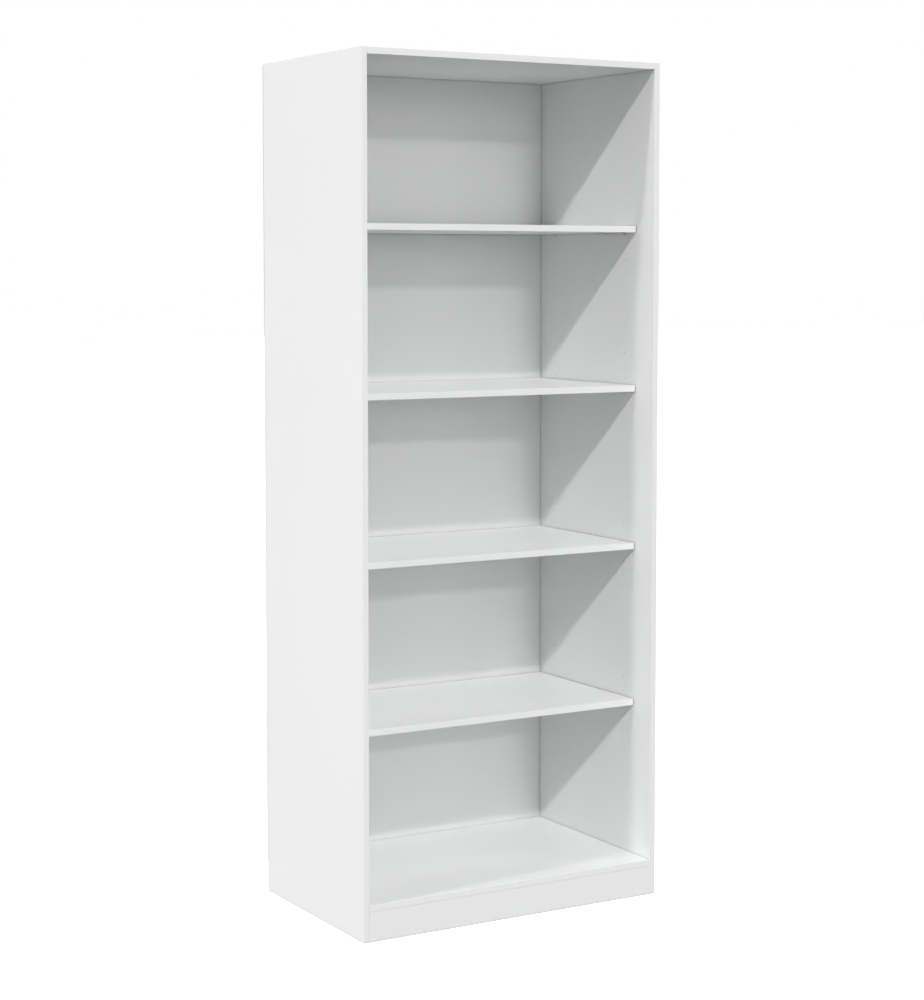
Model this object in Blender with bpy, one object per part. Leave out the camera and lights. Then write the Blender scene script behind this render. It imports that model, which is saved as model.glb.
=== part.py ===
"""Bookcase with four adjustable shelves, built up the way a flat-packed case goes together.

Metres, +Z up. The origin is on the floor, in the middle of the footprint. The open front looks
along -Y and a thin back sheet closes the rear. The carcass is two full-height sides with the top,
the bottom and two plinth boards between them: cam fittings draw the top and the bottom to the
sides, and dowels line all the boards up. Each shelf lies loose on four pegs, which plug into rows
of small holes in the sides.
"""

import math

import bmesh
import bpy
from mathutils import Matrix, Vector

# Overall size
WIDTH = 0.800
DEPTH = 0.500
HEIGHT = 2.000

# Boards
BOARD = 0.015             # thickness of every coated chipboard panel
BACK_SHEET = 0.003        # thickness of the back
GAP = 0.0003              # clearance between pieces that touch

# Layout
PLINTH = 0.070            # floor to the underside of the bottom panel
SHELVES = 4
SHELF_RECESS = 0.071      # front edge of a shelf behind the front of the case
SHELF_END_GAP = 0.0018    # end of a shelf to the side panel
SHELF_REAR_GAP = 0.003    # rear edge of a shelf to the back sheet
BACK_SHEET_BOTTOM = 0.0735
BACK_SHEET_TOP_INSET = 0.004

# Shelf pegs, and the rows of holes that they plug into
PEG_ROWS = {"front": 0.120, "rear": 0.430}   # measured back from the front of the case
HOLE_PITCH = 0.032
HOLES_EACH_WAY = 3        # spare holes above and below each shelf's place
PEG_HOLE_R = 0.0019
PEG_HOLE_DEPTH = 0.0085
SPIGOT_R = 0.0015
SPIGOT_LENGTH = 0.008     # part of the peg inside the side panel
COLLAR_R = 0.0035
COLLAR = 0.001
PEG_R = 0.0025
PEG_LENGTH = 0.008        # part of the peg under the shelf
ROUNDING = 0.0007         # rounded ends of the small turned pieces

# Cam fittings of the top and the bottom
CAM_ROWS = {"front": 0.050, "rear": 0.450}   # measured back from the front of the case
CAM_R = 0.0073
CAM_THICK = 0.0107
CAM_SUNK = 0.0015         # driving face of a cam below the board's face
CAM_FROM_END = 0.034      # centre of a cam to the end of its board
CAM_MOUTH = 0.008         # width and height of the opening that takes the bolt's head
CAM_BORE_R = 0.0077
CAM_BORE_DEPTH = 0.0125
DRIVE_SLOT = (0.0012, 0.009, 0.0024)
BOLT_THREAD_R = 0.0030
BOLT_COLLAR_R = 0.0036
BOLT_COLLAR = 0.0012
BOLT_SHANK_R = 0.0025
BOLT_NECK_R = 0.0018
BOLT_NECK = (0.0083, 0.0030)   # where the neck starts and ends, back from the head's centre
BOLT_HEAD_R = 0.0034
BOLT_HEAD = 0.0028        # length of the head's full round
BOLT_IN_SIDE = 0.011
BOLT_HOLE_R = 0.0034
BOLT_WAY_R = 0.0042       # bore from the end of a board to its cam

# Dowels
DOWEL_MID = DEPTH / 2     # dowels of the top and the bottom, back from the front of the case
DOWEL_PLINTH_Z = 0.035
DOWEL_R = 0.004
DOWEL_LENGTH = 0.030
DOWEL_IN_SIDE = 0.010
DOWEL_HOLE_R = 0.0044
BORE_EXTRA = 0.0005       # depth of a blind bore past what it holds
DRILL_START = 0.002       # how far outside the surface a drill starts

# Facets round a turned piece or its hole
CAM_SIDES = 16
ROD_SIDES = 12
PEG_SIDES = 10
SMOOTH_BELOW = 35         # degrees between faces that are shaded as one curve

# Places worked out from the sizes above
FRONT = -DEPTH / 2
REAR = DEPTH / 2
INSIDE_X = WIDTH / 2 - BOARD
BETWEEN_X = INSIDE_X - GAP
SHEET_FRONT = REAR - BACK_SHEET
BOARD_REAR = SHEET_FRONT - GAP
BOTTOM_TOP = PLINTH + BOARD
TOP_UNDER = HEIGHT - BOARD
CLEAR = (TOP_UNDER - BOTTOM_TOP - SHELVES * BOARD) / (SHELVES + 1)
PEG_TIP = SPIGOT_LENGTH + GAP + COLLAR + PEG_LENGTH
SIDES = {"left": -1, "right": 1}
PANEL_Z = {"top": HEIGHT - BOARD / 2, "bottom": PLINTH + BOARD / 2}
PLINTH_Y = {"front": FRONT + BOARD / 2, "rear": BOARD_REAR - BOARD / 2}

# Rotations that turn a piece's own +Z to a direction
UPRIGHT = (0, 0, 0)
UPSIDE_DOWN = (math.pi, 0, 0)
TOWARDS = {-1: (0, -math.pi / 2, 0), 1: (0, math.pi / 2, 0)}   # towards -X, towards +X


def clear_scene():
    for old in list(bpy.data.objects):
        bpy.data.objects.remove(old)


def material(name, colour, roughness, metallic=0.0):
    made = bpy.data.materials.new(name)
    made.use_nodes = True
    shader = made.node_tree.nodes["Principled BSDF"]
    shader.inputs["Base Color"].default_value = (*colour, 1.0)
    shader.inputs["Roughness"].default_value = roughness
    shader.inputs["Metallic"].default_value = metallic
    made.diffuse_color = (*colour, 1.0)
    return made


def make_materials():
    return {
        "melamine": material("white_melamine", (0.80, 0.80, 0.79), 0.45),
        "hardboard": material("white_hardboard", (0.76, 0.76, 0.75), 0.55),
        "zinc": material("die_cast_zinc", (0.62, 0.62, 0.60), 0.38, 1.0),
        "steel": material("zinc_plated_steel", (0.66, 0.66, 0.64), 0.30, 1.0),
        "beech": material("beech", (0.66, 0.46, 0.28), 0.65),
        "plastic": material("white_plastic", (0.82, 0.82, 0.81), 0.35),
        "peg": material("white_coated_steel", (0.80, 0.80, 0.80), 0.35, 0.2),
    }


def empty(name, location, parent=None):
    made = bpy.data.objects.new(name, None)
    made.location = location
    made.parent = parent
    bpy.context.collection.objects.link(made)
    return made


def mesh_of(name, bm, smooth=False):
    mesh = bpy.data.meshes.new(name)
    bm.to_mesh(mesh)
    bm.free()
    if smooth:
        mesh.shade_smooth()
        mesh.set_sharp_from_angle(angle=math.radians(SMOOTH_BELOW))
    return mesh


def place(name, mesh, location, parent=None, mat=None, rotation=UPRIGHT):
    """Link a mesh as an object; location is in the world, for a parent that isn't turned."""
    made = bpy.data.objects.new(name, mesh)
    made.parent = parent
    made.location = Vector(location) - (parent.location if parent else Vector())
    made.rotation_euler = rotation
    if mat and not mesh.materials:
        mesh.materials.append(mat)
    bpy.context.collection.objects.link(made)
    return made


def block(size, centre=(0, 0, 0)):
    bm = bmesh.new()
    matrix = Matrix.Translation(centre) @ Matrix.Diagonal((*size, 1.0))
    bmesh.ops.create_cube(bm, size=1.0, matrix=matrix)
    return bm


def board(name, low, high, parent, mat):
    """A square-edged panel between two opposite corners, with its origin in its middle."""
    low, high = Vector(low), Vector(high)
    return place(name, mesh_of(name, block(high - low)), (low + high) / 2, parent, mat)


def turned(profile, sides):
    """A closed solid turned about +Z, from (radius, height) points that start and end at radius 0."""
    bm = bmesh.new()
    points = [bm.verts.new((radius, 0.0, height)) for radius, height in profile]
    edges = [bm.edges.new(pair) for pair in zip(points, points[1:])]
    bmesh.ops.spin(bm, geom=points + edges, axis=(0, 0, 1), cent=(0, 0, 0), steps=sides,
                   angle=math.tau, use_merge=True)
    bmesh.ops.remove_doubles(bm, verts=bm.verts, dist=1e-6)
    bmesh.ops.recalc_face_normals(bm, faces=bm.faces)
    return bm


def cut(obj, name, mesh, parent=None):
    """Subtract a mesh from obj; the cutter is given in the world, or in its parent's own axes."""
    cutter = bpy.data.objects.new(name, mesh)
    cutter.parent = parent
    cutter.hide_render = True
    cutter.display_type = "WIRE"
    bpy.context.collection.objects.link(cutter)
    modifier = obj.modifiers.new(name, "BOOLEAN")
    modifier.operation = "DIFFERENCE"
    modifier.solver = "EXACT"
    modifier.object = cutter


def drill(bm, spots, direction, radius, depth, sides=ROD_SIDES):
    """Add a drill for a blind hole at each spot on a surface, all in one direction, to a cutter."""
    profile = [(0, -DRILL_START), (radius, -DRILL_START), (radius, depth), (0, depth)]
    single = mesh_of("drill", turned(profile, sides))
    turn = Vector((0, 0, 1)).rotation_difference(direction).to_matrix().to_4x4()
    for spot in spots:
        count = len(bm.verts)
        bm.from_mesh(single)
        bm.verts.ensure_lookup_table()
        bmesh.ops.transform(bm, matrix=Matrix.Translation(spot) @ turn, verts=bm.verts[count:])
    bpy.data.meshes.remove(single)


def shelf_underside(index):
    """Underside of a shelf, counted from 1 at the top."""
    return BOTTOM_TOP + CLEAR + (SHELVES - index) * (CLEAR + BOARD)


def peg_spot(side, index, row, steps=0):
    """Where a peg's axis meets a side's inner face, some holes above the shelf's own place."""
    z = shelf_underside(index) - GAP - PEG_R + steps * HOLE_PITCH
    return Vector((SIDES[side] * INSIDE_X, FRONT + PEG_ROWS[row], z))


def cam_spot(side, panel, row):
    """Where a cam bolt's axis meets a side's inner face."""
    return Vector((SIDES[side] * INSIDE_X, FRONT + CAM_ROWS[row], PANEL_Z[panel]))


def dowel_spots(side):
    """Where each dowel's axis meets a side's inner face, by the board that it lines up."""
    x = SIDES[side] * INSIDE_X
    spots = {panel: Vector((x, FRONT + DOWEL_MID, z)) for panel, z in PANEL_Z.items()}
    for name, y in PLINTH_Y.items():
        spots[f"plinth_{name}"] = Vector((x, y, DOWEL_PLINTH_Z))
    return spots


def side_panel(side, parent, mats):
    """A full-height side, with rows of peg holes and the bores of the bolts and the dowels."""
    inner, outer = SIDES[side] * INSIDE_X, SIDES[side] * WIDTH / 2
    panel = board(f"side_panel_{side}", (min(inner, outer), FRONT, 0),
                  (max(inner, outer), BOARD_REAR, HEIGHT), parent, mats["melamine"])
    outward = Vector((SIDES[side], 0, 0))
    steps = range(-HOLES_EACH_WAY, HOLES_EACH_WAY + 1)
    pegs = [peg_spot(side, index + 1, row, step)
            for index in range(SHELVES) for step in steps for row in PEG_ROWS]
    bolts = [cam_spot(side, name, row) for name in PANEL_Z for row in CAM_ROWS]
    holes = bmesh.new()
    drill(holes, pegs, outward, PEG_HOLE_R, PEG_HOLE_DEPTH, PEG_SIDES)
    drill(holes, bolts, outward, BOLT_HOLE_R, BOLT_IN_SIDE + BORE_EXTRA)
    drill(holes, dowel_spots(side).values(), outward, DOWEL_HOLE_R, DOWEL_IN_SIDE + BORE_EXTRA)
    cut(panel, f"{panel.name}_holes", mesh_of("holes", holes))


def drill_dowel_ends(bm, key):
    """The bore in each end of a cross board for the dowel that comes out of the side."""
    for side, sign in SIDES.items():
        spot = dowel_spots(side)[key] - Vector((sign * GAP, 0, 0))
        drill(bm, [spot], Vector((-sign, 0, 0)), DOWEL_HOLE_R,
              DOWEL_LENGTH - DOWEL_IN_SIDE + BORE_EXTRA)


def cross_panel(name, low_z, high_z, cam_face, parent, mats):
    """The top or the bottom: a board between the sides, with cams let into its hidden face."""
    panel = board(f"{name}_panel", (-BETWEEN_X, FRONT, low_z), (BETWEEN_X, BOARD_REAR, high_z),
                  parent, mats["melamine"])
    ends = bmesh.new()
    cams = bmesh.new()
    drill_dowel_ends(ends, name)
    way = CAM_FROM_END - CAM_BORE_R / 2
    for side, sign in SIDES.items():
        mouths = [cam_spot(side, name, row) - Vector((sign * GAP, 0, 0)) for row in CAM_ROWS]
        drill(ends, mouths, Vector((-sign, 0, 0)), BOLT_WAY_R, way)
        faces = [cam_centre(side, name, row) + Vector((0, 0, cam_face * BOARD / 2)) for row in CAM_ROWS]
        drill(cams, faces, Vector((0, 0, -cam_face)), CAM_BORE_R, CAM_BORE_DEPTH, CAM_SIDES)
    cut(panel, f"{panel.name}_end_holes", mesh_of("end_holes", ends))
    cut(panel, f"{panel.name}_cam_bores", mesh_of("cam_bores", cams))


def cam_centre(side, panel, row):
    """Middle of a cam, at mid-thickness of its board."""
    reach = Vector((SIDES[side] * (GAP + CAM_FROM_END), 0, 0))
    return cam_spot(side, panel, row) - reach


def cam_lock_mesh():
    """A cam standing on its blind face, with its driving face up."""
    profile = [(0, 0), (CAM_R, 0), (CAM_R, CAM_THICK - ROUNDING / 2),
               (CAM_R - ROUNDING / 2, CAM_THICK), (0, CAM_THICK)]
    return mesh_of("cam_lock", turned(profile, CAM_SIDES), smooth=True)


def cam_cover_mesh():
    """The cap that closes a cam's bore flush with the top panel."""
    height = CAM_SUNK - GAP
    return mesh_of("cam_cover", turned([(0, 0), (CAM_R, 0), (CAM_R, height), (0, height)], CAM_SIDES),
                   smooth=True)


def cam_bolt_mesh():
    """A bolt from its threaded tip in the side panel to the ball head in the cam."""
    collar = BOLT_IN_SIDE + GAP
    shank = collar + BOLT_COLLAR
    head = collar + CAM_FROM_END
    neck, throat = (head - back for back in BOLT_NECK)
    cheek = BOLT_HEAD_R - BOLT_NECK_R
    profile = [(0, 0), (BOLT_THREAD_R - ROUNDING, 0), (BOLT_THREAD_R, ROUNDING),
               (BOLT_THREAD_R, collar), (BOLT_COLLAR_R, collar), (BOLT_COLLAR_R, shank),
               (BOLT_SHANK_R, shank + BOLT_COLLAR_R - BOLT_SHANK_R), (BOLT_SHANK_R, neck - ROUNDING),
               (BOLT_NECK_R, neck), (BOLT_NECK_R, throat), (BOLT_HEAD_R, head - BOLT_HEAD / 2),
               (BOLT_HEAD_R, head + BOLT_HEAD / 2), (BOLT_NECK_R, head + BOLT_HEAD / 2 + cheek),
               (0, head + BOLT_HEAD / 2 + cheek)]
    return mesh_of("cam_bolt", turned(profile, ROD_SIDES), smooth=True)


def dowel_mesh():
    profile = [(0, 0), (DOWEL_R - ROUNDING, 0), (DOWEL_R, ROUNDING),
               (DOWEL_R, DOWEL_LENGTH - ROUNDING), (DOWEL_R - ROUNDING, DOWEL_LENGTH),
               (0, DOWEL_LENGTH)]
    return mesh_of("dowel", turned(profile, ROD_SIDES), smooth=True)


def peg_mesh():
    """A spigot for the side panel, a collar against its face and the peg that the shelf lies on."""
    collar = SPIGOT_LENGTH + GAP
    profile = [(0, 0), (SPIGOT_R - ROUNDING / 2, 0), (SPIGOT_R, ROUNDING / 2), (SPIGOT_R, collar),
               (COLLAR_R, collar), (COLLAR_R, collar + COLLAR), (PEG_R, collar + COLLAR),
               (PEG_R, PEG_TIP - ROUNDING), (PEG_R - ROUNDING, PEG_TIP), (0, PEG_TIP)]
    return mesh_of("shelf_pin", turned(profile, PEG_SIDES), smooth=True)


def cam_fitting(side, panel, row, meshes, parent, mats):
    """One cam with its bolt, and in the top panel the cap over it."""
    sign = SIDES[side]
    name = f"{panel}_{side}_{row}"
    at_top = panel == "top"
    up = 1 if at_top else -1
    turn = UPRIGHT if at_top else UPSIDE_DOWN
    centre = cam_centre(side, panel, row)
    foot = centre + Vector((0, 0, up * (BOARD / 2 - CAM_SUNK - CAM_THICK)))
    lock = place(f"cam_lock_{name}", meshes["lock"], foot, parent, mats["zinc"], turn)
    mid = CAM_THICK + CAM_SUNK - BOARD / 2
    mouth = block((CAM_R + CAM_MOUTH, CAM_MOUTH, CAM_MOUTH), (sign * CAM_R / 2, 0, mid))
    cut(lock, f"{lock.name}_mouth", mesh_of("mouth", mouth), lock)
    cut(lock, f"{lock.name}_drive", mesh_of("drive", block(DRIVE_SLOT, (0, 0, CAM_THICK))), lock)
    tip = cam_spot(side, panel, row) + Vector((sign * BOLT_IN_SIDE, 0, 0))
    place(f"cam_bolt_{name}", meshes["bolt"], tip, parent, mats["steel"], TOWARDS[-sign])
    if at_top:
        under = centre + Vector((0, 0, BOARD / 2 - CAM_SUNK + GAP))
        place(f"cam_cover_{side}_{row}", meshes["cover"], under, parent, mats["plastic"])


def plinth(name, parent, mats):
    """An upright board between the sides, under the bottom panel."""
    mid = PLINTH_Y[name]
    panel = board(f"plinth_{name}", (-BETWEEN_X, mid - BOARD / 2, 0),
                  (BETWEEN_X, mid + BOARD / 2, PLINTH - GAP), parent, mats["melamine"])
    ends = bmesh.new()
    drill_dowel_ends(ends, f"plinth_{name}")
    cut(panel, f"{panel.name}_end_holes", mesh_of("end_holes", ends))


def shelf(index, peg, parent, mats):
    """A loose shelf and its four pegs, on an empty at the shelf's own height."""
    under = shelf_underside(index)
    support = empty(f"shelf_{index}_support", (0, 0, under), parent)
    half = INSIDE_X - SHELF_END_GAP
    board(f"shelf_{index}", (-half, FRONT + SHELF_RECESS, under),
          (half, SHEET_FRONT - SHELF_REAR_GAP, under + BOARD), support, mats["melamine"])
    for side, sign in SIDES.items():
        for row in PEG_ROWS:
            tip = peg_spot(side, index, row) + Vector((sign * SPIGOT_LENGTH, 0, 0))
            place(f"shelf_{index}_pin_{side}_{row}", peg, tip, support, mats["peg"], TOWARDS[-sign])


def build():
    clear_scene()
    mats = make_materials()
    carcass = empty("carcass", (0, 0, 0))
    meshes = {"lock": cam_lock_mesh(), "bolt": cam_bolt_mesh(), "cover": cam_cover_mesh()}
    dowel = dowel_mesh()
    cross_panel("top", TOP_UNDER, HEIGHT, 1, carcass, mats)
    cross_panel("bottom", PLINTH, BOTTOM_TOP, -1, carcass, mats)
    for name in PLINTH_Y:
        plinth(name, carcass, mats)
    board("back_panel", (-WIDTH / 2, SHEET_FRONT, BACK_SHEET_BOTTOM),
          (WIDTH / 2, REAR, HEIGHT - BACK_SHEET_TOP_INSET), carcass, mats["hardboard"])
    for side, sign in SIDES.items():
        side_panel(side, carcass, mats)
        for panel in PANEL_Z:
            for row in CAM_ROWS:
                cam_fitting(side, panel, row, meshes, carcass, mats)
        for key, spot in dowel_spots(side).items():
            inside = spot + Vector((sign * DOWEL_IN_SIDE, 0, 0))
            place(f"dowel_{key}_{side}", dowel, inside, carcass, mats["beech"], TOWARDS[-sign])
    peg = peg_mesh()
    for index in range(1, SHELVES + 1):
        shelf(index, peg, carcass, mats)


build()
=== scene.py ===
import math

import bmesh
import bpy
from mathutils import Matrix, Vector


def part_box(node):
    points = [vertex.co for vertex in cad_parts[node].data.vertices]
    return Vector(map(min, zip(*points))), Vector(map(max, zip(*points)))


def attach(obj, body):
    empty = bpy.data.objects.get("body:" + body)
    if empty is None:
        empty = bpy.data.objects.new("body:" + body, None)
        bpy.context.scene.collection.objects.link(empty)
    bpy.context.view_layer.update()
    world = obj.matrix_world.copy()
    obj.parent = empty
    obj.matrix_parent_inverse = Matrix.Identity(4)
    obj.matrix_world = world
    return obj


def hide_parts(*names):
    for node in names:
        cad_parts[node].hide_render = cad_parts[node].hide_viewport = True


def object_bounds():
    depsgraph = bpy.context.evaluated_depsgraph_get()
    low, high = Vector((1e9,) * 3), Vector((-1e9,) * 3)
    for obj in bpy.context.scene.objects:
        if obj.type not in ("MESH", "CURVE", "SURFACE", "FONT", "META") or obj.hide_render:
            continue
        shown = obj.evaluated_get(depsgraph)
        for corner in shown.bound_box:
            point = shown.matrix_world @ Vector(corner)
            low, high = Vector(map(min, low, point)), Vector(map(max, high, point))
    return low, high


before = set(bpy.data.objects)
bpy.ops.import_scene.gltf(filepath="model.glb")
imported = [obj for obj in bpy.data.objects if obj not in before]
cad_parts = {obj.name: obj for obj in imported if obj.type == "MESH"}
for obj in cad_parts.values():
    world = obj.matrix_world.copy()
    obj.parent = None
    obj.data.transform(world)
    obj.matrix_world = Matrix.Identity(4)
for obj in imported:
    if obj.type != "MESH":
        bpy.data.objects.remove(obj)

# White flat-pack bookcase: boards with edge bands, drilled sides, pegs, back sheet and fittings.
#
# Everything is in metres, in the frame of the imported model: +Z up, open front along -Y. Sizes and
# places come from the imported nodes; the values below are the fine detail that they don't hold.

# Boards
SHELVES = range(1, 5)     # numbers of the shelves, from the top
BAND = 0.0010             # thickness of the plastic edge band
BAND_ARRIS = 0.0006       # rounding of the band's outer edges
BAND_OVER = 0.0002        # how far a band closes the gap between a fixed board and the side
BOARD_ARRIS = 0.00015     # rounding of the melamine's edges
WORN_ARRIS = 0.0008       # rounding of a board's rear edges, which have no band
SEAT = 0.00002            # hairline between a board and its band
SKIN = 0.0006             # a face that lies deeper than this is the wall of a hole
ARRIS_STEPS = 3
FACING = 0.9              # cosine above which a face counts as looking in a direction
IN_PLANE = 1e-6           # points closer than this to a plane lie in it
ON_AXIS = 1e-7            # points of a turned piece closer than this are merged

# Painted shade in the seams
SEAM_SHADE = 0.35               # how much of the light that a closed corner loses shows as a darker colour
SEAM_SHADE_REACH = 0.006
SEAM_SHADE_SAMPLES = 3

# Holes
HOLE_PITCH = 0.032
HOLES_EACH_WAY = 3
PEG_HOLE_R = 0.0016
PEG_HOLE_DEPTH = 0.0085
CAM_BORE_R = 0.0075
CAM_BORE_DEPTH = 0.0125
BOLT_HOLE = (0.0034, 0.0115)      # radius and depth in a side
BOLT_WAY = (0.0042, 0.0300)       # radius and depth from the end of a board to its cam
DOWEL_HOLE_R = 0.0044
DOWEL_IN_SIDE = 0.0105
DOWEL_IN_BOARD = 0.0205
DRILL_START = 0.002       # how far outside the surface a drill starts
HOLE_SIDES = 24

# Turned pieces
TURNED_SIDES = 32
ROUND_SIDES = 48          # of the wider ones, cams and caps
NAIL_SIDES = 16
ARC_STEPS = 4
SMOOTH_BELOW = 40         # degrees between faces that are shaded as one curve

# Shelf pegs, from the end in the side panel
PEG_SPIGOT_R = 0.0015
PEG_FACE = 0.0083         # where the collar rests against the side
PEG_COLLAR_R = 0.0035
PEG_COLLAR = 0.001
PEG_R = 0.0025
PEG_LENGTH = 0.0173
PEG_ROUNDING = 0.0004

# Caps over the cams
CAP_R = CAM_BORE_R - 0.0001
CAP_TAPER = 0.0006        # how much narrower a cap is at its foot
CAP_RIM = (0.0004, 0.0001)        # inset and drop of the rim from the crown
CAP_SHOULDER = 0.0005     # from the widest ring up to the crown
CAP_ROUNDING = 0.0002

# Cams
CAM_R = 0.0073
CAM_THICK = 0.0107
CAM_RIM = 0.0011          # width of the raised rim of the driving face
CAM_SUNK = 0.0003         # drop of the driving face inside the rim
CAM_ROUNDING = 0.0003
CAM_MOUTH = 0.008         # width and height of the opening for the bolt's head
MOUTH_DROP = 0.00065      # middle of the mouth below the middle of the cam
MOUTH_ROUNDING = 0.0006
RECESS = (0.0045, 0.0007)         # half length and half width of each arm of the cross
RECESS_DEPTH = 0.0011
RECESS_ROUNDING = 0.0002

# Bolts, from the tip in the side panel
BOLT_FACE = 0.0113        # where the collar rests against the side
CAM_FROM_END = 0.034      # centre of a cam to the end of its board
THREAD_R = 0.0030
THREAD_ROOT_R = 0.0024
THREAD_START = 0.0006
THREAD_PITCH = 0.0011
THREAD_CREST = (0.40, 0.50)       # start and end of the crest, in pitches
THREAD_ROOT = 0.85                # start of the next root, in pitches
THREADS = 9
TIP_TAPER = 0.0006
BOLT_COLLAR_R = 0.0036
BOLT_COLLAR = 0.0012
BOLT_CONE = 0.0011        # from the collar down to the shank
BOLT_SHANK_R = 0.0025
BOLT_NECK_R = 0.0018
BOLT_HEAD_R = 0.0034
SHANK_END = -0.0090       # this and the next three are from the middle of the head
NECK = (-0.0083, -0.0030)
HEAD_HALF = 0.0014
HEAD_END = 0.0030
BOLT_ROUNDING = 0.0003

# Dowels
FLUTES = 16
FLUTE_CORNERS = 4         # corners of a dowel's outline for each flute, one of them its bottom
FLUTE_DEPTH = 0.00025
DOWEL_CHAMFER = 0.0007

# Back sheet and its nails
SHEET_ARRIS = 0.0002
WEAVE_PITCH = 0.0018      # of the print on the rear face
NAIL_R = 0.0006
NAIL_LENGTH = 0.002       # the part that is modelled, inside the sheet
NAIL_HEAD_R = 0.0017
NAIL_HEAD = 0.0003        # how far a head stands off the sheet
NAIL_ROUNDING = 0.0002
NAIL_EDGE = 0.0075        # nails to the outer face of a side
NAIL_BOTTOM = 0.004       # lowest nails to the sheet's lower edge
NAIL_TOP = 0.0035         # highest nails to its upper edge
NAIL_PITCH = 0.16

# Floor and background
WHITE = (1.0, 1.0, 1.0, 1.0)
FLOOR_HALF = 40.0
FLOOR_DROP = 0.0004       # how far the floor lies below the feet
FLOOR_SEEN = 0.85         # glow of the floor as the camera sees it, so that it reads as white paper
FLOOR_BOUNCE = 0.224      # light that the floor sends up to the object
SKY_LIGHT = 0.080

# Lamps, at the angles and strengths that give the photograph's tones
LAMPS = {
    # name: (azimuth from the front, positive to the right; elevation; spread; tone that it gives a
    # white surface that faces it)
    "key": (-20, 38.6, 3, 0.491),
    "key_left": (-27.5, 37.7, 1.5, 0.149),
    "side": (-84.3, 36.8, 3, 0.219),
    "side_soft": (-90, 10, 30, 0.203),
    "left_soft": (-70, 15, 30, 0.070),
    "left_rear_soft": (-108, 8, 15, 0.292),
    "front_soft": (3, 10, 25, 0.058),
    "front_low": (3, 6, 10, 0.041),
    "right_low": (25, 6, 10, 0.026),
    "right_soft": (45, 45, 30, 0.169),
    "rear_soft": (130, 8, 12, 0.63),
}
STRIP_AWAY = 60.0         # from the middle of the case
STRIPS = {
    # name: (from azimuth, to azimuth; elevation straight ahead; thickness; brightness)
    "front": (0, 10, 18, 1.5, 44),
    "front_left": (-8, 0, 18, 1.5, 6.7),
    "front_right": (5, 15, 18, 3, 11.5),
}

# Camera, at the viewing angle of the photograph
CAMERA_AT = (-2.6871, -4.5743, 1.5166)
CAMERA_YAW = 30.462
CAMERA_TILT = 4.181
CAMERA_LENS = 79.77
CAMERA_SHIFT = -0.07

cad_low, cad_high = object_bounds()


# ---------------------------------------------------------------- materials

class Nodes:
    """A short way to write a Principled material's node tree."""

    def __init__(self, name, colour, roughness, metallic=0.0):
        self.made = bpy.data.materials.new(name)
        self.made.use_nodes = True
        self.tree = self.made.node_tree
        self.shader = self.tree.nodes["Principled BSDF"]
        self.shader.inputs["Base Color"].default_value = (*colour, 1.0)
        self.shader.inputs["Roughness"].default_value = roughness
        self.shader.inputs["Metallic"].default_value = metallic
        self.colour = colour
        self.place = self.add("ShaderNodeTexCoord").outputs["Object"]

    def add(self, kind, **settings):
        node = self.tree.nodes.new(kind)
        for key, value in settings.items():
            if key in node.inputs:
                node.inputs[key].default_value = value
            else:
                setattr(node, key, value)
        return node

    def link(self, source, target):
        self.tree.links.new(source, target)

    def spread_over(self, node, stretch):
        """Lay a texture over the object, stretched along each axis where its factor is below 1."""
        place = self.place
        if stretch:
            mapping = self.add("ShaderNodeMapping", Scale=stretch)
            self.link(self.place, mapping.inputs["Vector"])
            place = mapping.outputs["Vector"]
        self.link(place, node.inputs["Vector"])
        return node

    def noise(self, scale, detail=2.0, roughness=0.5, stretch=None):
        node = self.add("ShaderNodeTexNoise", Scale=scale, Detail=detail, Roughness=roughness)
        return self.spread_over(node, stretch).outputs["Fac"]

    def voronoi(self, scale, stretch=None):
        return self.spread_over(self.add("ShaderNodeTexVoronoi", Scale=scale), stretch)

    def cell_value(self, voronoi):
        """The random value of each Voronoi cell."""
        split = self.add("ShaderNodeSeparateColor")
        self.link(voronoi.outputs["Color"], split.inputs["Color"])
        return split.outputs[0]

    def math(self, operation, *values):
        node = self.add("ShaderNodeMath", operation=operation)
        for slot, value in zip(node.inputs, values):
            if isinstance(value, (int, float)):
                slot.default_value = value
            else:
                self.link(value, slot)
        return node.outputs[0]

    def ramp(self, source, stops):
        node = self.add("ShaderNodeValToRGB")
        elements = node.color_ramp.elements
        while len(elements) < len(stops):
            elements.new(0.5)
        for element, (at, colour) in zip(elements, stops):
            element.position = at
            element.color = (*colour, 1.0)
        self.link(source, node.inputs["Fac"])
        return node.outputs["Color"]

    def vary_roughness(self, source, low, high):
        """Let the roughness follow a source that goes from 0 to 1."""
        node = self.add("ShaderNodeMapRange")
        node.inputs["To Min"].default_value = low
        node.inputs["To Max"].default_value = high
        self.link(source, node.inputs["Value"])
        self.link(node.outputs["Result"], self.shader.inputs["Roughness"])

    def vary_colour(self, source, amount):
        """Darken the base colour a little where source is low."""
        dark = tuple(c * (1 - amount) for c in self.colour)
        colour = self.ramp(source, [(0.3, dark), (0.7, self.colour)])
        self.link(colour, self.shader.inputs["Base Color"])

    def paint_seam_shade(self, amount):
        """Paint shade into the base colour: a little darker in seams and inner corners, by how closed
        in they are.
        """
        base = self.shader.inputs["Base Color"]
        # painted shade: the occlusion of nearby surfaces within reach darkens the colour
        corner = self.add("ShaderNodeAmbientOcclusion", Distance=SEAM_SHADE_REACH, samples=SEAM_SHADE_SAMPLES)
        mix = self.add("ShaderNodeMixRGB", Fac=amount)
        colour = base.links[0].from_socket
        self.link(colour, corner.inputs["Color"])
        self.link(colour, mix.inputs["Color1"])
        self.link(corner.outputs["Color"], mix.inputs["Color2"])
        self.link(mix.outputs["Color"], base)

    def bump(self, source, strength, distance):
        node = self.add("ShaderNodeBump", Strength=strength, Distance=distance)
        self.link(source, node.inputs["Height"])
        self.link(node.outputs["Normal"], self.shader.inputs["Normal"])


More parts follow.
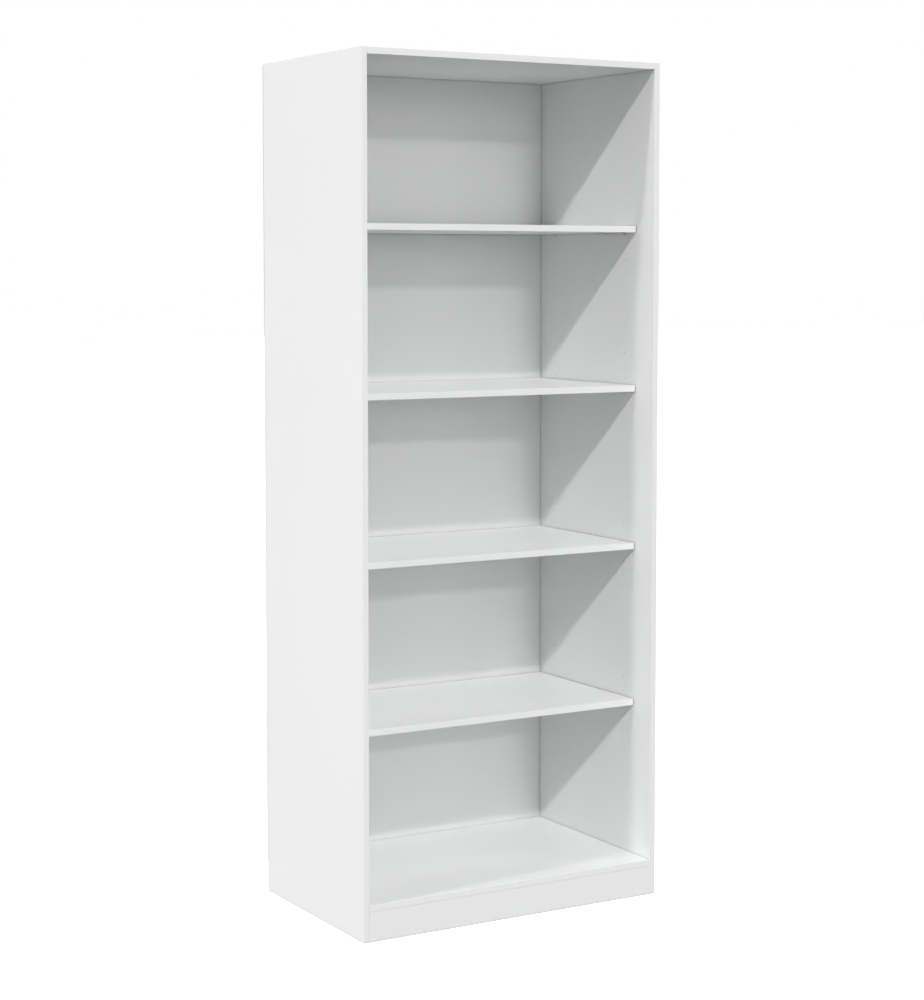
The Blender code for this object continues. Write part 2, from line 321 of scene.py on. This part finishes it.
def melamine():
    """Smooth white melamine: a faint pore texture and slightly uneven gloss."""
    mat = Nodes("white_melamine", (0.884, 0.893, 0.888), 0.42)
    mat.vary_colour(mat.noise(2.2, 3.0), 0.012)
    # painted shade: darker colour in seams and inner corners
    mat.paint_seam_shade(SEAM_SHADE)
    mat.vary_roughness(mat.noise(9.0, 4.0), 0.37, 0.47)
    pores = mat.math("ADD", mat.noise(850.0, 2.0), mat.math("MULTIPLY", mat.noise(160.0, 2.0), 0.6))
    mat.bump(pores, 0.10, 0.0001)
    return mat.made


def edge_band():
    """ABS band: a touch smoother than the melamine, with fine lengthwise planing marks."""
    mat = Nodes("white_edge_band", (0.827, 0.837, 0.832), 0.34)
    mat.vary_colour(mat.noise(5.0, 2.0), 0.010)
    # painted shade: darker colour in seams and inner corners
    mat.paint_seam_shade(SEAM_SHADE)
    mat.vary_roughness(mat.noise(30.0, 3.0), 0.30, 0.40)
    mat.bump(mat.noise(700.0, 1.0), 0.08, 0.0001)
    return mat.made


def chipboard():
    """Sawn chipboard core: pale flakes of several sizes in a darker, slightly open matrix."""
    mat = Nodes("chipboard_core", (0.62, 0.46, 0.29), 0.85)
    flakes = mat.voronoi(520.0, stretch=(1.0, 1.0, 0.45))
    fine = mat.noise(1500.0, 3.0)
    tone = mat.math("ADD", mat.math("MULTIPLY", mat.cell_value(flakes), 0.75),
                    mat.math("MULTIPLY", fine, 0.35))
    colour = mat.ramp(tone, [(0.15, (0.30, 0.19, 0.10)), (0.45, (0.55, 0.39, 0.23)),
                             (0.75, (0.72, 0.56, 0.36)), (1.0, (0.82, 0.69, 0.49))])
    mat.link(colour, mat.shader.inputs["Base Color"])
    mat.bump(mat.math("ADD", flakes.outputs["Distance"], fine), 0.5, 0.0004)
    return mat.made


def drilled_core():
    """Wall of a small hole: chipboard with the pale dust of the face pressed into it."""
    mat = Nodes("drilled_core", (0.78, 0.755, 0.71), 0.85)
    grain = mat.noise(1400.0, 3.0)
    mat.vary_colour(grain, 0.15)
    mat.bump(grain, 0.3, 0.0002)
    return mat.made


def painted_sheet():
    """Inner face of the back: white lacquer with a very soft roller texture."""
    mat = Nodes("white_lacquered_sheet", (0.875, 0.884, 0.879), 0.50)
    mat.vary_colour(mat.noise(1.8, 3.0), 0.012)
    # painted shade: darker colour in seams and inner corners
    mat.paint_seam_shade(SEAM_SHADE)
    mat.vary_roughness(mat.noise(12.0, 4.0), 0.46, 0.56)
    mat.bump(mat.noise(420.0, 3.0), 0.12, 0.0001)
    return mat.made


def screen_sheet():
    """Outer face of the back: pale primer over the woven-screen print that hardboard is pressed on."""
    mat = Nodes("primed_hardboard_rear", (0.70, 0.70, 0.68), 0.72)
    split = mat.add("ShaderNodeSeparateXYZ")
    mat.link(mat.place, split.inputs["Vector"])
    pitch = math.tau / WEAVE_PITCH
    across = mat.math("SINE", mat.math("MULTIPLY", split.outputs["X"], pitch))
    along = mat.math("SINE", mat.math("MULTIPLY", split.outputs["Z"], pitch))
    weave = mat.math("MULTIPLY", across, along)
    cloud = mat.noise(3.0, 5.0, 0.6)
    fibre = mat.noise(240.0, 4.0, 0.6, stretch=(1.0, 1.0, 0.5))
    tone = mat.math("ADD", mat.math("MULTIPLY", cloud, 0.6), mat.math("MULTIPLY", fibre, 0.4))
    mat.link(mat.ramp(tone, [(0.30, (0.640, 0.635, 0.610)), (0.70, (0.735, 0.735, 0.715))]),
             mat.shader.inputs["Base Color"])
    mat.bump(mat.math("ADD", weave, mat.math("MULTIPLY", fibre, 0.8)), 0.25, 0.0003)
    return mat.made


def sheet_edge():
    """Sawn and painted edge of the thin sheet."""
    mat = Nodes("hardboard_edge", (0.52, 0.525, 0.52), 0.70)
    layers = mat.noise(900.0, 3.0, stretch=(0.2, 3.0, 0.2))
    mat.vary_colour(layers, 0.08)
    mat.bump(layers, 0.3, 0.0002)
    return mat.made


def moulded_cap():
    mat = Nodes("white_cap_plastic", (0.80, 0.815, 0.805), 0.36)
    mat.vary_colour(mat.noise(180.0, 2.0), 0.015)
    mat.bump(mat.noise(1600.0, 2.0), 0.10, 0.0001)
    return mat.made


def coated_peg():
    mat = Nodes("white_coated_peg", (0.79, 0.805, 0.80), 0.30)
    mat.vary_colour(mat.noise(400.0, 2.0), 0.03)
    mat.shader.inputs["Coat Weight"].default_value = 0.3
    mat.shader.inputs["Coat Roughness"].default_value = 0.2
    mat.bump(mat.noise(900.0, 2.0), 0.12, 0.0001)
    return mat.made


def zinc_casting():
    mat = Nodes("zinc_casting", (0.60, 0.60, 0.59), 0.42, 1.0)
    grain = mat.noise(1300.0, 3.0)
    mat.vary_colour(mat.noise(300.0, 3.0), 0.22)
    mat.vary_roughness(grain, 0.34, 0.56)
    mat.bump(grain, 0.35, 0.0002)
    return mat.made


def plated_steel():
    mat = Nodes("zinc_plated_steel", (0.70, 0.70, 0.68), 0.28, 1.0)
    brushed = mat.noise(1200.0, 2.0, stretch=(0.1, 1.0, 1.0))
    mat.vary_colour(brushed, 0.15)
    mat.vary_roughness(brushed, 0.20, 0.36)
    mat.bump(brushed, 0.15, 0.0001)
    return mat.made


def beech():
    """Beech dowel: long grain with short darker flecks."""
    mat = Nodes("beech", (0.66, 0.46, 0.28), 0.60)
    grain = mat.noise(260.0, 5.0, 0.6, stretch=(0.08, 1.0, 1.0))
    flecks = mat.noise(900.0, 2.0, 0.5, stretch=(0.15, 1.0, 1.0))
    tone = mat.math("ADD", mat.math("MULTIPLY", grain, 0.7), mat.math("MULTIPLY", flecks, 0.3))
    colour = mat.ramp(tone, [(0.25, (0.42, 0.26, 0.14)), (0.5, (0.63, 0.43, 0.26)),
                             (0.8, (0.76, 0.58, 0.38))])
    mat.link(colour, mat.shader.inputs["Base Color"])
    mat.bump(tone, 0.25, 0.0002)
    return mat.made


MATS = {
    "melamine": melamine(),
    "band": edge_band(),
    "core": chipboard(),
    "drilled": drilled_core(),
    "inner": painted_sheet(),
    "rear": screen_sheet(),
    "sheet_edge": sheet_edge(),
    "cap": moulded_cap(),
    "peg": coated_peg(),
    "zinc": zinc_casting(),
    "steel": plated_steel(),
    "beech": beech(),
}


# ---------------------------------------------------------------- mesh helpers

def add_object(name, data):
    made = bpy.data.objects.new(name, data)
    bpy.context.collection.objects.link(made)
    return made


def new_piece(name, bm, mats, smooth_angle=None):
    mesh = bpy.data.meshes.new(name)
    bm.to_mesh(mesh)
    bm.free()
    if smooth_angle:
        mesh.shade_smooth()
        mesh.set_sharp_from_angle(angle=math.radians(smooth_angle))
    for mat in mats:
        mesh.materials.append(MATS[mat])
    return add_object(name, mesh)


def bevel_edges(bm, edges, radius):
    bmesh.ops.bevel(bm, geom=edges, offset=radius, segments=ARRIS_STEPS, profile=0.5, affect="EDGES",
                    clamp_overlap=True)


def edges_on(bm, side):
    """The edges that lie in a block's outermost plane on one side."""
    side = Vector(side)
    reach = max(v.co.dot(side) for v in bm.verts)
    return [edge for edge in bm.edges if all(v.co.dot(side) > reach - IN_PLANE for v in edge.verts)]


def block(low, high, arris, square=(), worn=None):
    """A box with rounded edges: sharp ones round the square sides, rounder ones round the worn side."""
    low, high = Vector(low), Vector(high)
    bm = bmesh.new()
    middle = Matrix.Translation((low + high) / 2)
    bmesh.ops.create_cube(bm, size=1.0, matrix=middle @ Matrix.Diagonal((*(high - low), 1.0)))
    untouched = [*square, worn] if worn else square
    left_alone = {edge for side in untouched for edge in edges_on(bm, side)}
    bevel_edges(bm, [edge for edge in bm.edges if edge not in left_alone], arris)
    if worn:
        bevel_edges(bm, edges_on(bm, worn), WORN_ARRIS)
    return bm


def turned(profile, sides=TURNED_SIDES):
    """A closed solid turned about +Z, from (radius, height) points that start and end at radius 0."""
    bm = bmesh.new()
    points = [bm.verts.new((radius, 0.0, height)) for radius, height in profile]
    edges = [bm.edges.new(pair) for pair in zip(points, points[1:])]
    bmesh.ops.spin(bm, geom=points + edges, axis=(0, 0, 1), cent=(0, 0, 0), steps=sides,
                   angle=math.tau, use_merge=True)
    bmesh.ops.remove_doubles(bm, verts=bm.verts, dist=ON_AXIS)
    bmesh.ops.recalc_face_normals(bm, faces=bm.faces)
    return bm


def rounded_profile(corners, radius):
    """The (r, z) points of a profile from (r, z, round?) corners; a round one becomes a short curve."""
    made = []
    for i, (r, z, soft) in enumerate(corners):
        if not soft:
            made.append((r, z))
            continue
        here = Vector((r, z))
        before = (Vector(corners[i - 1][:2]) - here).normalized() * radius
        after = (Vector(corners[i + 1][:2]) - here).normalized() * radius
        for step in range(ARC_STEPS + 1):
            t = step / ARC_STEPS
            point = here + before * (1 - t) ** 2 + after * t ** 2
            made.append((point.x, point.y))
    return made


def copies(bm, spots):
    """Copies of a shape in one bmesh: each spot is a point and the direction its +Z turns to."""
    single = bpy.data.meshes.new("single")
    bm.to_mesh(single)
    bm.free()
    made = bmesh.new()
    for point, direction in spots:
        count = len(made.verts)
        made.from_mesh(single)
        made.verts.ensure_lookup_table()
        turn = Vector((0, 0, 1)).rotation_difference(Vector(direction)).to_matrix().to_4x4()
        bmesh.ops.transform(made, matrix=Matrix.Translation(point) @ turn, verts=made.verts[count:])
    bpy.data.meshes.remove(single)
    return made


def drill(piece, drills):
    """Cut blind holes in one go, from (spots, radius, depth) groups of holes that don't meet.

    Each spot is a point on the surface and the direction into the material.
    """
    cutters = bmesh.new()
    for spots, radius, depth in drills:
        shape = turned([(0, -DRILL_START), (radius, -DRILL_START), (radius, depth), (0, depth)],
                       HOLE_SIDES)
        group = bpy.data.meshes.new("group")
        made = copies(shape, spots)
        made.to_mesh(group)
        made.free()
        cutters.from_mesh(group)
        bpy.data.meshes.remove(group)
    cut_away(piece, cutters)


def cut_away(piece, shape):
    """Subtract a shape from a piece's mesh."""
    cutter = new_piece("cutter", shape, [])
    modifier = piece.modifiers.new("holes", "BOOLEAN")
    modifier.solver = "EXACT"
    modifier.object = cutter
    bpy.context.view_layer.update()
    evaluated = piece.evaluated_get(bpy.context.evaluated_depsgraph_get())
    old = piece.data
    piece.modifiers.clear()
    piece.data = bpy.data.meshes.new_from_object(evaluated)
    bpy.data.meshes.remove(old)
    bpy.data.objects.remove(cutter)


def mark_raw(piece, raw):
    """Second material on the outer faces that look in the raw directions, third in the holes."""
    mesh = piece.data
    low = Vector([min(v.co[i] for v in mesh.vertices) for i in range(3)])
    high = Vector([max(v.co[i] for v in mesh.vertices) for i in range(3)])
    for face in mesh.polygons:
        centre = face.center
        depth = min(min(centre[i] - low[i], high[i] - centre[i]) for i in range(3))
        outer = any(face.normal.dot(Vector(side)) > FACING for side in raw) and depth < SKIN
        face.material_index = 2 if depth > SKIN else int(outer)


# ---------------------------------------------------------------- boards

LEFT, RIGHT = (-1, 0, 0), (1, 0, 0)
FRONT, REAR = (0, -1, 0), (0, 1, 0)
DOWN, UP = (0, 0, -1), (0, 0, 1)


def board(node, body, raw, cuts=(), band_over=0.0):
    """Replace a CAD board by a banded one; each cut is a list of holes that are drilled in one go.

    The band may run a little over the ends of the board.
    """
    low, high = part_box(node)
    low, high = Vector(low), Vector(high)
    core_low = Vector((low.x, low.y + BAND + SEAT, low.z))
    core = new_piece(f"{node}_core", block(core_low, high, BOARD_ARRIS, [FRONT], REAR),
                     ["melamine", "core", "drilled"])
    for drills in cuts:
        drill(core, drills)
    mark_raw(core, raw)
    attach(core, body)
    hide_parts(node)
    ends = [DOWN, UP] if high.z - low.z > high.x - low.x else [LEFT, RIGHT]
    over = Vector((band_over, 0, 0))
    strip = new_piece(f"{node}_band", block(low - over, Vector((high.x, low.y + BAND, high.z)) + over,
                                            BAND_ARRIS, [REAR, *ends]), ["band"])
    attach(strip, body)


def nodes_of(start):
    return sorted(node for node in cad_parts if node.startswith(start))


def node_centre(node):
    low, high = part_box(node)
    return (Vector(low) + Vector(high)) / 2


def fittings(kind, *words):
    """Centres of the fittings of one kind that have all these words in their names."""
    return [node_centre(node) for node in nodes_of(kind) if all(f"_{word}" in node for word in words)]


def side_panels():
    """Full-height sides with rows of peg holes and the bores of the bolts and dowels."""
    for side, outward in (("left", LEFT), ("right", RIGHT)):
        low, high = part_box(f"side_panel_{side}")
        inner_x = high[0] if side == "left" else low[0]

        def spots(centres):
            return [((inner_x, centre.y, centre.z), outward) for centre in centres]

        rows = [centre + Vector((0, 0, step * HOLE_PITCH)) for i in SHELVES
                for centre in fittings(f"shelf_{i}_pin", side)
                for step in range(-HOLES_EACH_WAY, HOLES_EACH_WAY + 1)]
        board(f"side_panel_{side}", "carcass", [REAR, DOWN],
              [[(spots(rows), PEG_HOLE_R, PEG_HOLE_DEPTH),
                (spots(fittings("cam_bolt", side)), *BOLT_HOLE),
                (spots(fittings("dowel", side)), DOWEL_HOLE_R, DOWEL_IN_SIDE)]])


def end_holes(node, kind, name, radius, depth):
    """Bores in both ends of a cross board for one kind of fitting."""
    low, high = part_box(node)
    spots = []
    for centre in fittings(kind, name):
        x, inward = (high[0], LEFT) if centre.x > 0 else (low[0], RIGHT)
        spots.append(((x, centre.y, centre.z), inward))
    return spots, radius, depth


def cross_panels():
    """Top and bottom, with cam bores in their hidden faces and the bolts' ways in their ends."""
    for name, hidden, inward in (("top", 1, DOWN), ("bottom", 0, UP)):
        node = f"{name}_panel"
        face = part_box(node)[hidden][2]
        cams = [((centre.x, centre.y, face), inward) for centre in fittings("cam_lock", name)]
        board(node, "carcass", [REAR, LEFT, RIGHT],
              [[end_holes(node, "cam_bolt", name, *BOLT_WAY),
                end_holes(node, "dowel", name, DOWEL_HOLE_R, DOWEL_IN_BOARD)],
               [(cams, CAM_BORE_R, CAM_BORE_DEPTH)]], BAND_OVER)


def plinths():
    for name in ("front", "rear"):
        node = f"plinth_{name}"
        board(node, "carcass", [LEFT, RIGHT, DOWN],
              [[end_holes(node, "dowel", node, DOWEL_HOLE_R, DOWEL_IN_BOARD)]], BAND_OVER)


def shelves():
    for i in SHELVES:
        board(f"shelf_{i}", f"shelf_{i}", [LEFT, RIGHT, REAR])


# ---------------------------------------------------------------- back sheet and nails

def back_sheet():
    low, high = (Vector(corner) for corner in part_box("back_panel"))
    rear = high.y - NAIL_HEAD
    sheet = new_piece("back_sheet", block(low, (high.x, rear, high.z), SHEET_ARRIS),
                      ["inner", "rear", "sheet_edge"])
    for face in sheet.data.polygons:
        facing = [face.normal.y < -FACING, face.normal.y > FACING]
        face.material_index = facing.index(True) if True in facing else 2
    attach(sheet, "carcass")
    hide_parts("back_panel")
    profile = rounded_profile([(0, -NAIL_LENGTH, False), (NAIL_R, -NAIL_LENGTH, False),
                               (NAIL_R, 0, False), (NAIL_HEAD_R, 0, False),
                               (NAIL_HEAD_R, NAIL_HEAD, True), (0, NAIL_HEAD, False)], NAIL_ROUNDING)
    spots = [((x, rear, z), REAR) for x, z in nail_places(low, high)]
    nails = new_piece("back_nails", copies(turned(profile, NAIL_SIDES), spots), ["steel"],
                      SMOOTH_BELOW)
    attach(nails, "carcass")


def nail_places(low, high):
    """Nails down both sides and along the top and the bottom of the sheet."""
    bottom, top = low.z + NAIL_BOTTOM, high.z - NAIL_TOP
    width = high.x - low.x - 2 * NAIL_EDGE
    rows, columns = round((top - bottom) / NAIL_PITCH), round(width / NAIL_PITCH)
    for x in (low.x + NAIL_EDGE, high.x - NAIL_EDGE):
        for i in range(rows + 1):
            yield x, bottom + (top - bottom) * i / rows
    for z in (bottom, top):
        for i in range(1, columns):
            yield low.x + NAIL_EDGE + width * i / columns, z


# ---------------------------------------------------------------- pegs, caps and fittings

def stand_in(node, suffix, shape, mat, body="carcass"):
    """A finely shaped piece in the place of a small CAD one."""
    piece = new_piece(f"{node}_{suffix}", shape, [mat], SMOOTH_BELOW)
    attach(piece, body)
    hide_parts(node)


def outer_end(node):
    """The point on the axis of a fitting where it ends in the side panel, and the way in from there."""
    low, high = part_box(node)
    middle = node_centre(node)
    if middle.x > 0:
        return (high[0], middle.y, middle.z), LEFT
    return (low[0], middle.y, middle.z), RIGHT


def pegs():
    """Turned shelf pegs: spigot, collar and the part that the shelf lies on."""
    collar = PEG_FACE + PEG_COLLAR
    profile = rounded_profile([(0, 0, False), (PEG_SPIGOT_R, 0, True), (PEG_SPIGOT_R, PEG_FACE, False),
                               (PEG_COLLAR_R, PEG_FACE, True), (PEG_COLLAR_R, collar, True),
                               (PEG_R, collar, False), (PEG_R, PEG_LENGTH, True),
                               (0, PEG_LENGTH, False)], PEG_ROUNDING)
    for node in nodes_of("shelf_"):
        if "_pin_" in node:
            body = node.split("_pin_")[0] + "_pins"
            stand_in(node, "turned", copies(turned(profile), [outer_end(node)]), "peg", body)


def caps():
    """Moulded caps, slightly domed, pressed flush into the cam bores of the top panel."""
    inset, drop = CAP_RIM
    for node in nodes_of("cam_cover"):
        low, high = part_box(node)
        tall = high[2] - low[2]
        profile = rounded_profile([(0, 0, False), (CAP_R - CAP_TAPER, 0, False),
                                   (CAP_R, tall - CAP_SHOULDER, True),
                                   (CAP_R - inset, tall - drop, True), (0, tall, False)], CAP_ROUNDING)
        middle = node_centre(node)
        spot = ((middle.x, middle.y, low[2]), UP)
        stand_in(node, "moulded", copies(turned(profile, ROUND_SIDES), [spot]), "cap")


def cam_casting():
    """A cam, driving face up: a rimmed body, a cross recess and a mouth along +X for the bolt."""
    rim, sunk = CAM_R - CAM_RIM, CAM_THICK - CAM_SUNK
    profile = rounded_profile([(0, 0, False), (CAM_R, 0, True), (CAM_R, CAM_THICK, True),
                               (rim, CAM_THICK, True), (rim, sunk, False), (0, sunk, False)],
                              CAM_ROUNDING)
    cam = new_piece("cam", turned(profile, ROUND_SIDES), [])
    half, middle = CAM_MOUTH / 2, CAM_THICK / 2 - MOUTH_DROP
    outside, above = CAM_R * 1.5, CAM_THICK * 1.2
    cut_away(cam, block((-half, -half, middle - half), (outside, half, middle + half), MOUTH_ROUNDING))
    for x, y in (RECESS, RECESS[::-1]):
        cut_away(cam, block((-x, -y, sunk - RECESS_DEPTH), (x, y, above), RECESS_ROUNDING))
    mesh = cam.data
    bpy.data.objects.remove(cam)
    return mesh


def cams():
    """Die-cast cams with their mouths to the sides: driving faces up in the top, down in the bottom."""
    casting = cam_casting()
    for node in nodes_of("cam_lock"):
        low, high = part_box(node)
        middle = node_centre(node)
        upright = "_top_" in node
        turn = Matrix.Rotation(0 if middle.x > 0 else math.pi, 4, "Z")
        if not upright:
            turn = Matrix.Rotation(math.pi, 4, "X") @ turn
        foot = Matrix.Translation((middle.x, middle.y, low[2] if upright else high[2]))
        shape = bmesh.new()
        shape.from_mesh(casting)
        bmesh.ops.transform(shape, matrix=foot @ turn, verts=shape.verts)
        stand_in(node, "cast", shape, "zinc")
    bpy.data.meshes.remove(casting)


def bolts():
    """Turned bolts from the threaded tip in the side to the ball head in the cam."""
    profile = [(0, 0), (THREAD_ROOT_R - TIP_TAPER, 0)]
    crest_start, crest_end = THREAD_CREST
    for turn in range(THREADS):
        start = THREAD_START + turn * THREAD_PITCH
        profile += [(THREAD_ROOT_R, start), (THREAD_R, start + crest_start * THREAD_PITCH),
                    (THREAD_R, start + crest_end * THREAD_PITCH),
                    (THREAD_ROOT_R, start + THREAD_ROOT * THREAD_PITCH)]
    shank = BOLT_FACE + BOLT_COLLAR
    head = BOLT_FACE + CAM_FROM_END
    neck_start, neck_end = NECK
    profile += rounded_profile(
        [(THREAD_ROOT_R, BOLT_FACE, False), (BOLT_COLLAR_R, BOLT_FACE, True),
         (BOLT_COLLAR_R, shank, True), (BOLT_SHANK_R, shank + BOLT_CONE, False),
         (BOLT_SHANK_R, head + SHANK_END, True),
         (BOLT_NECK_R, head + neck_start, True), (BOLT_NECK_R, head + neck_end, True),
         (BOLT_HEAD_R, head - HEAD_HALF, True), (BOLT_HEAD_R, head + HEAD_HALF, True),
         (BOLT_NECK_R, head + HEAD_END, True), (0, head + HEAD_END, False)], BOLT_ROUNDING)
    for node in nodes_of("cam_bolt"):
        stand_in(node, "threaded", copies(turned(profile), [outer_end(node)]), "steel")


def fluted_rod(radius, length):
    """A rod along +Z with grooves down its length and chamfered ends."""
    bm = bmesh.new()
    corners = FLUTE_CORNERS * FLUTES
    rings = []
    for inset, height in ((DOWEL_CHAMFER, 0), (0, DOWEL_CHAMFER),
                          (0, length - DOWEL_CHAMFER), (DOWEL_CHAMFER, length)):
        ring = []
        for i in range(corners):
            reach = radius - inset - (FLUTE_DEPTH if i % FLUTE_CORNERS == 0 else 0)
            angle = math.tau * i / corners
            ring.append(bm.verts.new((reach * math.cos(angle), reach * math.sin(angle), height)))
        rings.append(ring)
    for lower, upper in zip(rings, rings[1:]):
        for i in range(corners):
            j = (i + 1) % corners
            bm.faces.new((lower[i], lower[j], upper[j], upper[i]))
    bm.faces.new(reversed(rings[0]))
    bm.faces.new(rings[-1])
    return bm


def dowels():
    """Fluted beech dowels."""
    for node in nodes_of("dowel"):
        low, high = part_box(node)
        rod = fluted_rod((high[2] - low[2]) / 2, high[0] - low[0])
        stand_in(node, "fluted", copies(rod, [outer_end(node)]), "beech")


# ---------------------------------------------------------------- stage, light and camera

def show_and_light(tree, light, look, output):
    """Let the camera see one shader while another lights the object."""
    path = tree.nodes.new("ShaderNodeLightPath")
    mix = tree.nodes.new("ShaderNodeMixShader")
    tree.links.new(path.outputs["Is Camera Ray"], mix.inputs["Fac"])
    tree.links.new(light.outputs[0], mix.inputs[1])
    tree.links.new(look.outputs[0], mix.inputs[2])
    tree.links.new(mix.outputs["Shader"], tree.nodes[output].inputs["Surface"])


def stage():
    """A plain white floor that runs out to a white background."""
    bm = bmesh.new()
    bmesh.ops.create_grid(bm, x_segments=8, y_segments=8, size=FLOOR_HALF,
                          matrix=Matrix.Translation((0, 0, cad_low[2] - FLOOR_DROP)))
    floor = new_piece("studio_floor", bm, [])
    white = bpy.data.materials.new("studio_floor_white")
    white.use_nodes = True
    tree = white.node_tree
    shader = tree.nodes["Principled BSDF"]
    shader.inputs["Base Color"].default_value = (0.9, 0.9, 0.9, 1.0)
    shader.inputs["Roughness"].default_value = 0.9
    shader.inputs["Emission Color"].default_value = WHITE
    shader.inputs["Emission Strength"].default_value = FLOOR_SEEN
    bounce = tree.nodes.new("ShaderNodeEmission")
    bounce.inputs["Strength"].default_value = FLOOR_BOUNCE
    show_and_light(tree, bounce, shader, "Material Output")
    floor.data.materials.append(white)


def lamps():
    for name, (azimuth, elevation, spread, strength) in LAMPS.items():
        data = bpy.data.lights.new(f"{name}_light", "SUN")
        data.energy = strength * math.pi
        data.angle = math.radians(spread)
        lamp = add_object(f"{name}_light", data)
        lamp.rotation_euler = (math.radians(90 - elevation), 0, math.radians(azimuth))


def strips():
    """Long thin soft boxes, parallel to the case's front and far away, where LAMPS has round ones."""
    for name, (start, end, elevation, thickness, brightness) in STRIPS.items():
        rise = math.radians(elevation)
        ahead = STRIP_AWAY * math.cos(rise)
        left, right = (ahead * math.tan(math.radians(azimuth)) for azimuth in (start, end))
        data = bpy.data.lights.new(f"{name}_light", "AREA")
        data.shape = "RECTANGLE"
        data.size = right - left
        data.size_y = 2 * STRIP_AWAY * math.tan(math.radians(thickness / 2))
        data.energy = brightness * data.size * data.size_y * math.pi
        lamp = add_object(f"{name}_light", data)
        lamp.location = ((left + right) / 2, -ahead, cad_high[2] / 2 + STRIP_AWAY * math.sin(rise))
        lamp.rotation_euler = (math.radians(90) - rise, 0, 0)
        lamp.visible_camera = False


def sky():
    """White behind the object, and a softer, even light on it."""
    world = bpy.data.worlds.new("studio")
    world.use_nodes = True
    tree = world.node_tree
    light = tree.nodes["Background"]
    light.inputs["Strength"].default_value = SKY_LIGHT
    light.inputs["Color"].default_value = WHITE
    white = tree.nodes.new("ShaderNodeBackground")
    white.inputs["Color"].default_value = WHITE
    show_and_light(tree, light, white, "World Output")
    bpy.context.scene.world = world


def camera():
    data = bpy.data.cameras.new("camera")
    data.lens = CAMERA_LENS
    data.shift_y = CAMERA_SHIFT
    made = add_object("camera", data)
    made.location = CAMERA_AT
    made.rotation_euler = (math.radians(90 - CAMERA_TILT), 0, -math.radians(CAMERA_YAW))
    bpy.context.scene.camera = made
    bpy.context.scene.view_settings.view_transform = "Standard"


side_panels()
cross_panels()
plinths()
shelves()
back_sheet()
pegs()
caps()
cams()
bolts()
dowels()
stage()
lamps()
strips()
sky()
camera()
